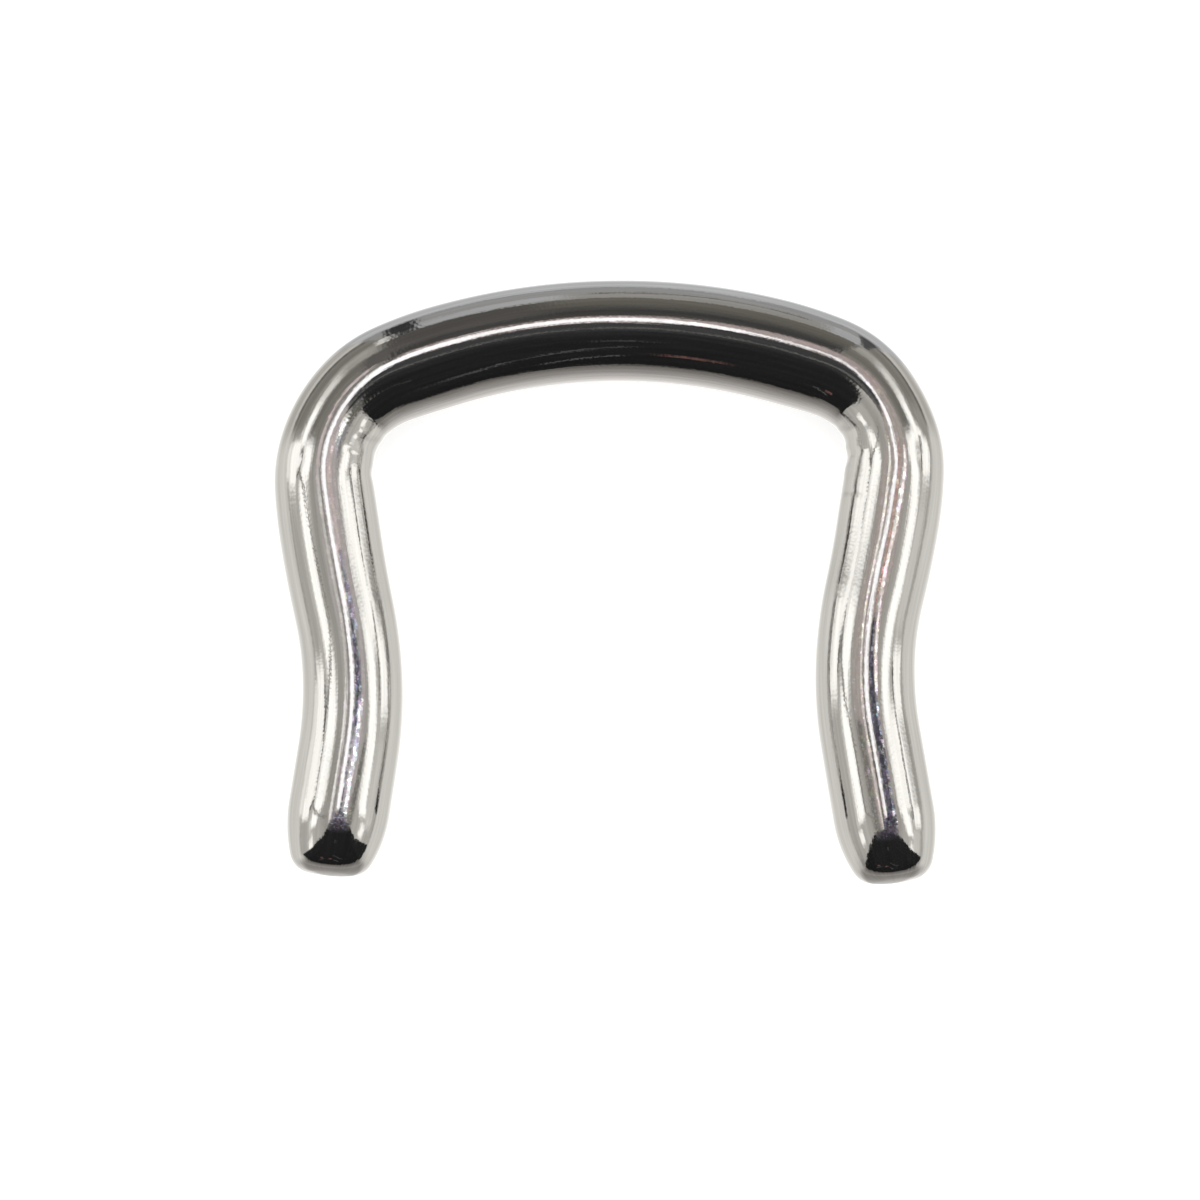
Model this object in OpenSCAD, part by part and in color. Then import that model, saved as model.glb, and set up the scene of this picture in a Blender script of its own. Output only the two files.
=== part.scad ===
// Septum retainer: one polished steel bar bent into a wide horseshoe.
// It lies flat, as it is stored. The crown is towards +Y, both legs run
// towards -Y, and the bar's axis lies in one level plane.
// All lengths are in millimetres and all turns in degrees.

/* [Bar] */
// Diameter of the bar, 12 gauge
bar_d = 2.05; // [1.6:0.05:2.4]
// Radius of the crown's shallow arch, at the bar's axis
crown_r = 12.6; // [11:0.1:16]

/* [Left side] */
// Turn of the crown from its apex to the left shoulder
left_crown_turn = 21.3; // [19:0.1:23]
// Radius of the left shoulder, at the bar's axis
left_shoulder_r = 2.27; // [1.8:0.01:2.8]
// Turn of the left shoulder
left_shoulder_turn = 74.9; // [70:0.1:80]
// Radius of the upper left leg, which still bends inwards
left_leg_r = 24.6; // [18:0.1:32]
// Turn of the upper left leg
left_leg_turn = 5.8; // [4:0.1:8]
// Radius of the left pinch, which bends back outwards
left_pinch_r = 8; // [6:0.1:10]
// Turn of the left pinch
left_pinch_turn = 21.1; // [17:0.1:24]
// Length of the straight left end, with its tip
left_end_len = 2.51; // [2:0.01:5]

/* [Right side] */
// Turn of the crown from its apex to the right shoulder
right_crown_turn = 19.5; // [17:0.1:22]
// Radius of the right shoulder, at the bar's axis
right_shoulder_r = 2.09; // [1.8:0.01:2.8]
// Turn of the right shoulder
right_shoulder_turn = 76.8; // [72:0.1:82]
// Radius of the upper right leg, which still bends inwards
right_leg_r = 21.5; // [18:0.1:32]
// Turn of the upper right leg
right_leg_turn = 6.5; // [4:0.1:8]
// Radius of the right pinch, which bends back outwards
right_pinch_r = 7.5; // [6:0.1:10]
// Turn of the right pinch
right_pinch_turn = 22.7; // [17:0.1:24]
// Length of the straight right end, with its tip
right_end_len = 3.02; // [2:0.01:5]

/* [Tips] */
// Radius of the slow taper that leads into each tip
taper_r = 2.7; // [2:0.1:4]
// Turn of that taper
taper_turn = 22.9; // [15:0.1:28]
// Radius of the rounded edge round each tip
edge_r = 0.55; // [0.4:0.01:0.7]
// Turn of that edge, after which a flat dome closes the tip
edge_turn = 55.4; // [50:0.1:60]

/* [Hidden] */
$fn = 48;
bar_r = bar_d / 2;
// Bending draws the bar down by a hundredth in the shoulders and pinches.
// Those bends run on a little way inside their thicker neighbours.
thin_r = bar_r - 0.01;
overlap = 0.05;

// A side is a walk along the bar's axis from the apex of the crown, first
// towards +X. Each row is one bend: its radius, its turn, which is above zero
// where it bends inwards, and the bar's own radius there.
RADIUS = 0;
TURN = 1;
BAR = 2;
left_bends = [
    [crown_r, left_crown_turn, bar_r],
    [left_shoulder_r, left_shoulder_turn, thin_r],
    [left_leg_r, left_leg_turn, bar_r],
    [left_pinch_r, -left_pinch_turn, thin_r]];
right_bends = [
    [crown_r, right_crown_turn, bar_r],
    [right_shoulder_r, right_shoulder_turn, thin_r],
    [right_leg_r, right_leg_turn, bar_r],
    [right_pinch_r, -right_pinch_turn, thin_r]];
SHOULDER = 1;
BENDS = 4;

// Unit vector to the inner side of the bar where it heads a degrees below +X
function inward(a) = [-sin(a), -cos(a)];
// Heading after the first n bends, in degrees below +X
function heading(bends, n) = n == 0 ? 0 : heading(bends, n - 1) + bends[n - 1][TURN];
// Radius of bend n, below zero where its centre is on the outer side
function signed_r(bends, n) = sign(bends[n][TURN]) * bends[n][RADIUS];
// Centre of bend n, from the apex
function centre(bends, n) = axis_at(bends, n) + signed_r(bends, n) * inward(heading(bends, n));
// Point of the axis after the first n bends, from the apex
function axis_at(bends, n) = n == 0
    ? [0, 0]
    : centre(bends, n - 1) - signed_r(bends, n - 1) * inward(heading(bends, n));

// The tip's outline is three arcs: the taper, the edge and the dome. Heights
// run along the bar from where the taper starts.
dome_turn = taper_turn + edge_turn;
taper_x = bar_r - taper_r;
edge_x = taper_x + (taper_r - edge_r) * cos(taper_turn);
edge_h = (taper_r - edge_r) * sin(taper_turn);
dome_r = edge_r + edge_x / cos(dome_turn);
dome_h = edge_h - edge_x * tan(dome_turn);
tip_len = dome_h + dome_r;
arc_step = 5;

// Points of an arc about [x, h], from one angle to another, both measured
// from the direction straight out of the bar's side
function arc(x, h, r, from, to) =
    let (steps = ceil((to - from) / arc_step))
    [for (i = [1 : steps])
        let (a = from + (to - from) * i / steps)
        [x + r * cos(a), h + r * sin(a)]];

// How far an end reaches along -Y from its last bend when it leans a degrees
function end_reach(len, a) = abs(a) < 90 - dome_turn
    ? (len - dome_r) * cos(a) + dome_r
    : (len - tip_len + edge_h) * cos(a) + edge_x * sin(abs(a)) + edge_r;
// Lowest Y of a side, from the apex
function side_low(bends, len) =
    axis_at(bends, BENDS)[1] - end_reach(len, heading(bends, BENDS) - 90);
// Furthest X of a side, which is on its shoulder
function side_wide(bends) = centre(bends, SHOULDER)[0] + bends[SHOULDER][RADIUS] + thin_r;

// Place of the apex, so that the origin is at the middle of the part's foot
apex_x = (side_wide(left_bends) - side_wide(right_bends)) / 2;
low_y = min(side_low(left_bends, left_end_len), side_low(right_bends, right_end_len));
apex_y = -(bar_r + low_y) / 2;

// A piece of bar bent to radius r about the origin, between two angles
module bent_bar(r, from, to, own_r) {
    rotate(from)
        rotate_extrude(angle = to - from)
            translate([r, 0])
                circle(r = own_r);
}

// The crown, one arch from the left shoulder to the right one
module crown() {
    translate([0, -crown_r])
        bent_bar(crown_r, 90 - right_crown_turn, 90 + left_crown_turn, bar_r);
}

// Bend n of a side
module bend(bends, n) {
    r = bends[n][RADIUS];
    own_r = bends[n][BAR];
    turn = bends[n][TURN];
    from = turn > 0 ? 90 - heading(bends, n + 1) : 270 - heading(bends, n);
    more = own_r < bar_r ? overlap / r * 180 / PI : 0;
    translate(centre(bends, n))
        bent_bar(r, from - more, from + abs(turn) + more, own_r);
}

// The straight end of a side, turned with its blunt tip in one outline
module end(bends, len) {
    taper_start = len - tip_len;
    translate(axis_at(bends, BENDS))
        rotate(-heading(bends, BENDS))
            rotate([0, 90, 0])
                rotate_extrude()
                    polygon(concat(
                        [[0, 0], [bar_r, 0], [bar_r, taper_start]],
                        arc(taper_x, taper_start, taper_r, 0, taper_turn),
                        arc(edge_x, taper_start + edge_h, edge_r, taper_turn, dome_turn),
                        arc(0, taper_start + dome_h, dome_r, dome_turn, 90)));
}

// One side of the bar, from the crown to its tip
module side(bends, end_len) {
    for (n = [SHOULDER : BENDS - 1])
        bend(bends, n);
    end(bends, end_len);
}

module retainer_bar() {
    color("silver")
        translate([apex_x, apex_y, bar_r]) {
            crown();
            side(right_bends, right_end_len);
            mirror([1, 0, 0])
                side(left_bends, left_end_len);
        }
}

retainer_bar();
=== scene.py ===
# %% [markdown]
# Septum retainer. The real thing is one bar of surgical steel, bent cold into a wide horseshoe,
# rounded at both ends and tumbled until it shines like a mirror. A mirror has hardly any look of
# its own, so three things make the picture: an exact surface, a finish with a few honest flaws,
# and the studio that the surface reflects. The cells below build them in that order, and
# they take the bar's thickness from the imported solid.

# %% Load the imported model
import math

import bpy
import numpy as np
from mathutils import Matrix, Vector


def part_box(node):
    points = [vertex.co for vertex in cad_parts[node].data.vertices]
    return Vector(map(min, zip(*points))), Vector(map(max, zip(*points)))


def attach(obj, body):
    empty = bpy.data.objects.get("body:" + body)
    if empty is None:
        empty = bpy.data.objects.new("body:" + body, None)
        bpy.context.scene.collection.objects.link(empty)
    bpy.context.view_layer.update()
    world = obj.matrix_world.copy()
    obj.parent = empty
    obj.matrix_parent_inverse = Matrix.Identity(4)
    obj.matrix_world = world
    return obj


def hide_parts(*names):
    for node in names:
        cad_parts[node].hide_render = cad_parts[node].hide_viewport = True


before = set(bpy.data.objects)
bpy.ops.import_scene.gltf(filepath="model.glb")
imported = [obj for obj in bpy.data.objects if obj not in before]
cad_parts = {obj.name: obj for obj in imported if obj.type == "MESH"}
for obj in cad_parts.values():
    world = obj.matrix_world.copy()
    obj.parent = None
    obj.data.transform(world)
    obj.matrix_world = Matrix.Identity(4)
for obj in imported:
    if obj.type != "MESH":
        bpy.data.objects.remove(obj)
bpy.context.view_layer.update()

MM = 0.001
bar_low, bar_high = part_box("retainer_bar")
bar_r = (bar_high[2] - bar_low[2]) / 2
R_MM = bar_r / MM
print(f"The bar is {2 * R_MM:.2f} mm thick and the part is {(bar_high[0] - bar_low[0]) / MM:.2f} mm wide")

# %% [markdown]
# The bar's axis lies in one level plane, so a single number says where it heads at each distance
# from the top of the crown: its turn. Between two bends the turn grows evenly, which makes arcs.
# A real bender never changes radius from one point to the next, so the axis is then averaged over
# a short window. That rounds off the change from one bend to the next and moves nothing else.

# %% The bends, as the solid has them within a few hundredths of a millimetre
# Each row is one bend: radius in millimetres and turn in degrees, above zero inwards
LEFT_BENDS = [(12.6, 21.3), (2.27, 75.1), (24.6, 5.8), (8.0, -21.2)]
RIGHT_BENDS = [(12.6, 19.5), (2.09, 77.0), (21.5, 6.5), (7.5, -22.7)]
LEFT_END, RIGHT_END = 2.51, 3.02
# How far the axis is carried on, straight, past each end
RUN_ON = 1.4
# Width of the averaging window, and the distance between two points of the axis
WINDOW = 0.6
FINE_STEP = 0.005


def knots(bends, end):
    """Distances and headings at the ends of the bends, both counted from the apex."""
    lengths = [radius * math.radians(abs(turn)) for radius, turn in bends] + [end]
    turns = [math.radians(turn) for radius, turn in bends] + [0.0]
    return np.cumsum(lengths), np.cumsum(turns)


def bar_axis():
    """The axis as distances and points in the plane, both in millimetres.

    The heading at distance s is read from the knots, and a point is the running sum of
    (cos heading, -sin heading). Each point is then the mean of its neighbours, weighted by
    a raised cosine as wide as WINDOW.
    """
    left_at, left_turn = knots(LEFT_BENDS, LEFT_END)
    right_at, right_turn = knots(RIGHT_BENDS, RIGHT_END)
    at = np.concatenate([-left_at[::-1], [0.0], right_at])
    turn = np.concatenate([-left_turn[::-1], [0.0], right_turn])
    before = round((left_at[-1] + RUN_ON + WINDOW) / FINE_STEP)
    after = round((right_at[-1] + RUN_ON + WINDOW) / FINE_STEP)
    s = np.arange(-before, after + 1) * FINE_STEP
    heading = np.interp(s, at, turn)
    stride = FINE_STEP * np.stack([np.cos(heading), -np.sin(heading)], axis=1)
    points = np.concatenate([[[0.0, 0.0]], np.cumsum((stride[1:] + stride[:-1]) / 2, axis=0)])
    points -= points[before]
    half = round(WINDOW / 2 / FINE_STEP)
    weight = 1 + np.cos(np.linspace(-np.pi, np.pi, 2 * half + 1))
    weight /= weight.sum()
    smooth = np.stack([np.convolve(points[:, k], weight, mode="same") for k in (0, 1)], axis=1)
    keep = slice(half, len(s) - half)
    return s[keep], smooth[keep], -left_at[-1], right_at[-1]


def axis_frame(s):
    """At distances s: points of the axis and the level directions to the outer side."""
    x = np.interp(s, axis_s, axis_xy[:, 0])
    y = np.interp(s, axis_s, axis_xy[:, 1])
    dx = np.interp(s, axis_s, np.gradient(axis_xy[:, 0], axis_s))
    dy = np.interp(s, axis_s, np.gradient(axis_xy[:, 1], axis_s))
    length = np.hypot(dx, dy)
    return np.stack([x, y, 0 * x], axis=-1), np.stack([-dy / length, dx / length, 0 * x], axis=-1)


axis_s, axis_xy, left_nose, right_nose = bar_axis()
print(f"Unbent, the bar is {right_nose - left_nose:.1f} mm long")

# %% [markdown]
# Seen from above, the bar isn't equally thick everywhere. Bending squeezes it by six to ten
# hundredths in the shoulders and lets it swell a little on both sides of them. The two shoulders
# differ, so each side has its own table, which gives the half width at each station along the
# bar. The half height stays that of the round bar, except in the ends, so the bar rests on the
# floor just as the solid does.

# %% Half width along the bar
# Distance from the apex in millimetres, and the half width seen from above against the bar's
LEFT_WIDTH = [(0, 1.0), (3.0, 1.01), (4.0, 1.02), (4.9, 0.99), (5.6, 0.955), (6.1, 0.935),
              (6.8, 0.955), (7.4, 0.985), (8.2, 1.015), (9.5, 1.005), (11.0, 0.995), (13.0, 1.01),
              (14.4, 1.015), (15.2, 1.035)]
RIGHT_WIDTH = [(0, 1.0), (3.5, 1.025), (4.5, 0.995), (5.1, 0.96), (5.8, 0.9), (6.4, 0.945),
               (7.0, 0.99), (7.7, 1.025), (8.8, 1.01), (10.5, 0.99), (12.6, 1.01), (14.0, 1.015)]
# The tables are read at a few places this far to both sides, and the mean is taken
ROUNDED_OVER, READINGS = 0.4, 9


def width_factor(s):
    """The tables above read at distance s, with their corners averaged away."""
    total = np.zeros_like(s)
    for offset in np.linspace(-ROUNDED_OVER, ROUNDED_OVER, READINGS):
        here = s + offset
        left = np.interp(-here, *zip(*LEFT_WIDTH))
        right = np.interp(here, *zip(*RIGHT_WIDTH))
        total += np.where(here < 0, left, right)
    return total / READINGS


print(f"At its narrowest the bar has {width_factor(axis_s).min():.2f} of its full width")

# %% [markdown]
# The blunt ends are turned on a lathe: a slow taper, a rounded edge and a flat dome. Three arcs
# that meet without a corner describe them exactly, which matters, because the shape of the black
# reflection in each end follows from how fast the surface turns there.

# %% Outline of the ends
# Radius in millimetres and turn, first of the taper and then of the edge
TAPER_R, TAPER_TURN = 2.7, math.radians(22.9)
EDGE_R, EDGE_TURN = 0.55, math.radians(55.4)


def tip_outline(steps):
    """The outline of an end: height above the start of the taper, half width, and its length.

    Three arcs follow each other, each about its own centre: (x + r cos a, h + r sin a), with
    the angle a growing from straight out of the bar's side to straight along the bar.
    """
    dome_turn = TAPER_TURN + EDGE_TURN
    taper_x = R_MM - TAPER_R
    edge_x = taper_x + (TAPER_R - EDGE_R) * math.cos(TAPER_TURN)
    edge_h = (TAPER_R - EDGE_R) * math.sin(TAPER_TURN)
    dome_r = EDGE_R + edge_x / math.cos(dome_turn)
    dome_h = edge_h - edge_x * math.tan(dome_turn)
    a = np.linspace(0, np.pi / 2, steps)
    x = np.select([a < TAPER_TURN, a < dome_turn], [taper_x, edge_x], 0.0)
    h = np.select([a < TAPER_TURN, a < dome_turn], [0.0, edge_h], dome_h)
    r = np.select([a < TAPER_TURN, a < dome_turn], [TAPER_R, EDGE_R], dome_r)
    return h + r * np.sin(a), x + r * np.cos(a), dome_h + dome_r


# Rows of points between the two ends, and points in the outline of each end
STATIONS = 780
TIP_STEPS = 46


def stations():
    """Distances along the bar, the half width and the half height at each."""
    tip_h, tip_w, tip_len = tip_outline(TIP_STEPS)
    left_start, right_start = left_nose + tip_len, right_nose - tip_len
    shaft = np.linspace(left_start, right_start, STATIONS)
    s = np.concatenate([left_start - tip_h[:0:-1], shaft, right_start + tip_h[1:]])
    round_r = np.concatenate([tip_w[:0:-1], np.full(STATIONS, R_MM), tip_w[1:]])
    return s, round_r * width_factor(s), round_r


s, half_width, half_height = stations()
print(f"The bar has {len(s)} rows of points, and each end is {tip_outline(TIP_STEPS)[2]:.2f} mm long")

# %% [markdown]
# The bender's jaws press on the inside of the shoulders. They leave dents there, and the steel
# between them ripples. They are hardly deeper than two hundredths of a millimetre, but whole
# reflections bend at them. A bump in the material could do that too, but dents are part of the
# shape. The strongest dents have a row of their own in a table, and a sum of waves in random
# directions makes the ripples.

# %% Marks of the bender
# Distance along the bar (left is negative), degrees from the top (outside is positive), the
# reach both ways, and the height in thousandths of a millimetre
MARKS = [(-5.8, -46, 0.16, 12, -20), (-6.25, -38, 0.15, 13, 14), (-6.1, -80, 0.14, 24, 14),
         (-6.5, -62, 0.18, 22, -20), (-6.95, -72, 0.24, 20, 12), (-6.75, -35, 0.12, 12, -12),
         (-7.35, -88, 0.22, 16, -16), (-7.15, 33, 0.2, 14, -10), (-6.75, 45, 0.25, 12, 7),
         (5.25, -42, 0.15, 11, -16), (5.6, -78, 0.16, 20, 20), (5.95, -52, 0.15, 16, -18),
         (6.3, -85, 0.15, 22, 18), (6.6, -66, 0.14, 20, -20), (7.1, -80, 0.2, 14, 14),
         (7.62, -62, 0.08, 18, -9), (6.75, 31, 0.2, 13, -9), (6.45, 45, 0.25, 12, 7),
         (-14.75, 32, 0.14, 14, 7), (14.7, 32, 0.14, 14, 7)]
WAVES, WAVE_SEED = 40, 12
# Shortest and longest wave in millimetres, its height for each millimetre of length, and how
# widely the directions of the waves are spread about the bar's own, in radians
WAVE_LENGTHS, WAVE_HEIGHT, WAVE_SPREAD = (0.22, 0.7), 0.00042, 0.9
# The waves are drawn out along the bar and pressed together around it
WAVE_ALONG, WAVE_AROUND = 0.6, 1.2
# Where the waves are strong, on both sides alike: distance from the apex, reach and strength
WAVE_PLACES = [(9.0, 3.5, 0.35), (6.2, 1.1, 1.5), (4.6, 1.4, 0.7)]
WAVES_ELSEWHERE = 0.05
# Middle and reach of the inner side that the jaws touch, in degrees from the top
JAW_SIDE, JAW_REACH = -55, 24


def bell(distance, spread):
    """A smooth bump, 1 at distance zero and nearly 0 beyond twice the spread."""
    return np.exp(-(distance / spread) ** 2)


def relief(s, t):
    """How far the surface stands out, in millimetres, at distance s and angle t around the bar.

    Each mark is a bump of the form height exp(-(ds/reach)^2 - (dt/reach)^2). The ripples are a
    sum of cosines in random directions, strong inside the shoulders and weak everywhere else.
    """
    out = np.zeros(np.broadcast(s, t).shape)
    for at, angle, long, wide, height in MARKS:
        out += 0.001 * height * bell(s - at, long) * bell(t - np.radians(angle), np.radians(wide))
    inside = bell(t - np.radians(JAW_SIDE), np.radians(JAW_REACH))
    worked = sum(share * bell(np.abs(s) - at, reach) for at, reach, share in WAVE_PLACES)
    strength = WAVES_ELSEWHERE + inside * worked
    random = np.random.default_rng(WAVE_SEED)
    for k in range(WAVES):
        length = random.uniform(*WAVE_LENGTHS)
        way = random.normal(0.0, WAVE_SPREAD)
        phase = random.uniform(0, 2 * np.pi)
        along = WAVE_ALONG * np.cos(way) * 2 * np.pi / length * s
        across = WAVE_AROUND * np.sin(way) * 2 * np.pi / length * R_MM * t
        out += WAVE_HEIGHT * length * strength * np.cos(along + across + phase)
    return out


print(f"The deepest mark is {max(abs(mark[-1]) for mark in MARKS) / 1000:.3f} mm deep")

# %% [markdown]
# Now the surface itself: a profile carried along a path. It is a grid with one row for each
# station along the bar and one column for each direction around it. Modifiers could bend a
# cylinder too, but a grid that is worked out has its points exactly where the mirror needs them.
# The rows lie close together, because a mirror shows the smallest step between two faces.

# %% The bar's surface
AROUND = 112
UP = np.array([0.0, 0.0, 1.0])
# How far the two ends reach on past a true round end, in millimetres, six tenths of the radius
# out, and the share of the radius towards the inner side at which they don't
LEFT_CORNER, RIGHT_CORNER = 0.075, 0.05
CORNER_FROM = 0.4
# Marks are left out below this height, as a share of the radius, so the bar rests on a plain side
MARKED_ABOVE = -0.3


def corner_reach(s, across):
    """How far points of the ends move on along the bar: corner (across / R + CORNER_FROM)^2."""
    near_end = np.clip(1 - np.minimum(s - left_nose, right_nose - s), 0, 1)
    near_end = near_end ** 2 * (3 - 2 * near_end)
    reach = near_end * np.where(s < 0, -LEFT_CORNER, RIGHT_CORNER)
    return reach[:, None] * (across / R_MM + CORNER_FROM) ** 2


def sweep(s, half_width, half_height, t):
    """Grid of points: axis + half_width sin t outward + half_height cos t up, for all s and t."""
    place, outward = axis_frame(s)
    onward = np.cross(outward, UP)
    grown = 1 + relief(s[:, None], t[None]) / R_MM * (np.cos(t) > MARKED_ABOVE)
    across = half_width[:, None] * np.sin(t) * grown
    rise = half_height[:, None] * np.cos(t) * grown
    along = corner_reach(s, across)
    return (place[:, None] + along[..., None] * onward[:, None] + across[..., None] * outward[:, None]
            + rise[..., None] * UP)


t = ((np.arange(AROUND) + 0.5) * 2 * np.pi / AROUND + np.pi) % (2 * np.pi) - np.pi
grid = sweep(s, half_width, half_height, t)
low = grid.reshape(-1, 3).min(axis=0)
high = grid.reshape(-1, 3).max(axis=0)
middle = (low + high) / 2
grid += [-middle[0], -middle[1], R_MM]
width, depth = (high - low)[:2]
print(f"The surface is {width:.2f} by {depth:.2f} mm and has {grid[..., 0].size} points")

# %% [markdown]
# A mesh needs its points and, for each face, the numbers of its corners. On a grid those numbers
# follow a rule, so whole arrays of them are made at once. Two attributes go on the points as well:
# where each point would be if the bar were straight, and how much the jaws have scuffed it there.
# The finish reads them later.

# %% The bar as a mesh
# Middle and reach of the scuffs in degrees from the top, then the places along the bar: distance
# from the apex, reach and strength
SCUFF_SIDE, SCUFF_REACH = -50, 14
SCUFF_PLACES = [(6.2, 1.2, 1.0), (9.5, 3.0, 0.4)]


def closed_tube(name, grid):
    """A mesh from a grid whose columns join round and whose first and last rows are points."""
    rows, columns = grid.shape[:2]
    body = grid[1:-1].reshape(-1, 3)
    verts = np.concatenate([body, grid[:1, 0], grid[-1:, 0]])
    row = np.arange(rows - 3)[:, None] * columns
    column = np.arange(columns)[None]
    following = (column + 1) % columns
    quads = np.stack([row + column, row + following, row + columns + following,
                      row + columns + column], axis=-1)
    first, last = len(body), len(body) + 1
    ring = np.arange(columns)
    turned = np.roll(ring, -1)
    end_row = (rows - 3) * columns
    caps = [np.stack([np.full(columns, first), turned, ring], axis=1),
            np.stack([np.full(columns, last), end_row + ring, end_row + turned], axis=1)]
    mesh = bpy.data.meshes.new(name)
    faces = quads.reshape(-1, 4).tolist() + np.concatenate(caps).tolist()
    mesh.from_pydata(verts.tolist(), [], faces)
    mesh.shade_smooth()
    return mesh


def paint_on(mesh, name, values, kind, field):
    """Puts a grid of values on the points of a closed tube, as an attribute of that name."""
    ends = np.stack([values[0].mean(axis=0), values[-1].mean(axis=0)])
    points = np.concatenate([values[1:-1].reshape(-1, values.shape[-1]), ends])
    mesh.attributes.new(name, kind, "POINT").data.foreach_set(field, points.ravel().astype(np.float32))


def in_scene(name, data):
    """A new object with this name and data, linked to the scene."""
    item = bpy.data.objects.new(name, data)
    bpy.context.scene.collection.objects.link(item)
    return item


bar_mesh = closed_tube("horseshoe_bar", grid * MM)
unbent = np.stack(np.broadcast_arrays(s[:, None], R_MM * np.sin(t), R_MM * np.cos(t)), axis=-1)
scuffed = sum(share * bell(np.abs(s) - at, reach) for at, reach, share in SCUFF_PLACES)
tooled = bell(t - np.radians(SCUFF_SIDE), np.radians(SCUFF_REACH)) * scuffed[:, None]
paint_on(bar_mesh, "unbent", unbent, "FLOAT_VECTOR", "vector")
paint_on(bar_mesh, "tooled", tooled[..., None], "FLOAT", "value")
bar = in_scene("horseshoe_bar", bar_mesh)
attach(bar, "root")
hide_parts("retainer_bar")
print(f"The bar's mesh has {len(bar_mesh.polygons)} faces")

# %% [markdown]
# The finish is only nearly a mirror. Rolling and polishing leave hairlines along the bar, tumbling
# leaves a fine grain, and the bender's jaws leave scuffs across it inside the shoulders. These
# patterns have to follow the bar round its bends, so they read the attribute that says where a
# point would be, in millimetres, if the bar were straight. A noise that is squeezed in one
# direction of that straight bar gives lines, and one that is squeezed in the other gives scuffs.

# %% Patterns on the unbent bar
# A noise is nearly always between these two values
NOISE_LOW, NOISE_HIGH = 0.3, 0.7


def feed(tree, socket, value):
    """Links an output to the input socket, or gives the socket a value of its own."""
    if isinstance(value, bpy.types.NodeSocket):
        tree.links.new(value, socket)
    else:
        socket.default_value = value


def math_node(tree, operation, *values):
    """A Math node in the tree, fed with outputs or numbers; gives its output."""
    node = tree.nodes.new("ShaderNodeMath")
    node.operation = operation
    for socket, value in zip(node.inputs, values):
        feed(tree, socket, value)
    return node.outputs[0]


def set_inputs(node, values):
    """Gives the named inputs of a node their values."""
    for name, value in values.items():
        node.inputs[name].default_value = value


def noise_on_bar(tree, along, across, detail):
    """Noise between 0 and 1 on the unbent bar, with so many cells per millimetre both ways."""
    place = tree.nodes.new("ShaderNodeAttribute")
    place.attribute_name = "unbent"
    squeeze = tree.nodes.new("ShaderNodeVectorMath")
    squeeze.operation = "MULTIPLY"
    squeeze.inputs[1].default_value = (along, across, across)
    tree.links.new(place.outputs["Vector"], squeeze.inputs[0])
    noise = tree.nodes.new("ShaderNodeTexNoise")
    set_inputs(noise, {"Scale": 1.0, "Detail": detail})
    tree.links.new(squeeze.outputs[0], noise.inputs["Vector"])
    return noise.outputs[0]


def between(tree, value, low, high):
    """A Map Range node that turns NOISE_LOW to NOISE_HIGH of a noise into low to high."""
    node = tree.nodes.new("ShaderNodeMapRange")
    set_inputs(node, {"From Min": NOISE_LOW, "From Max": NOISE_HIGH, "To Min": low, "To Max": high})
    tree.links.new(value, node.inputs["Value"])
    return node.outputs["Result"]


print(f"The patterns run along the bar from {s[0]:.1f} to {s[-1]:.1f} mm")

# %% [markdown]
# Polished surgical steel gives back six tenths of the light, a touch warmer than it came. It has
# no other colour than that of its reflections. One bump holds all three patterns, and the
# hairlines also change the roughness and the tint a little.

# %% Polished steel
STEEL = (0.62, 0.61, 0.595)
# How much darker and paler the steel is from one hairline to the next, and how rough it is there
TINT_SPREAD = 0.07
SMOOTHEST, ROUGHEST = 0.04, 0.09
# Cells of the noise per millimetre along the bar and across it, and how much finer detail it has
HAIRLINES, SCUFFS, GRAIN = (0.5, 15.0, 3.0), (8.0, 2.5, 2.0), (16.0, 16.0, 0.0)
# How deep the whole relief is, and how much of it is scuffs and grain
RELIEF_DEPTH = 0.0015 * MM
SCUFF_SHARE, GRAIN_SHARE = 3.0, 0.5


def new_material(name):
    """A material with this name, and its tree of nodes."""
    material = bpy.data.materials.new(name)
    material.use_nodes = True
    return material, material.node_tree


def colour_mix(tree, amount, first, second):
    """A Mix node that goes from the first colour at amount 0 to the second at 1; gives its output."""
    node = tree.nodes.new("ShaderNodeMix")
    node.data_type = "RGBA"
    feed(tree, node.inputs["Factor"], amount)
    # By number, because several inputs of a Mix node share a name
    feed(tree, node.inputs[6], first)
    feed(tree, node.inputs[7], second)
    return node.outputs[2]


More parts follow.
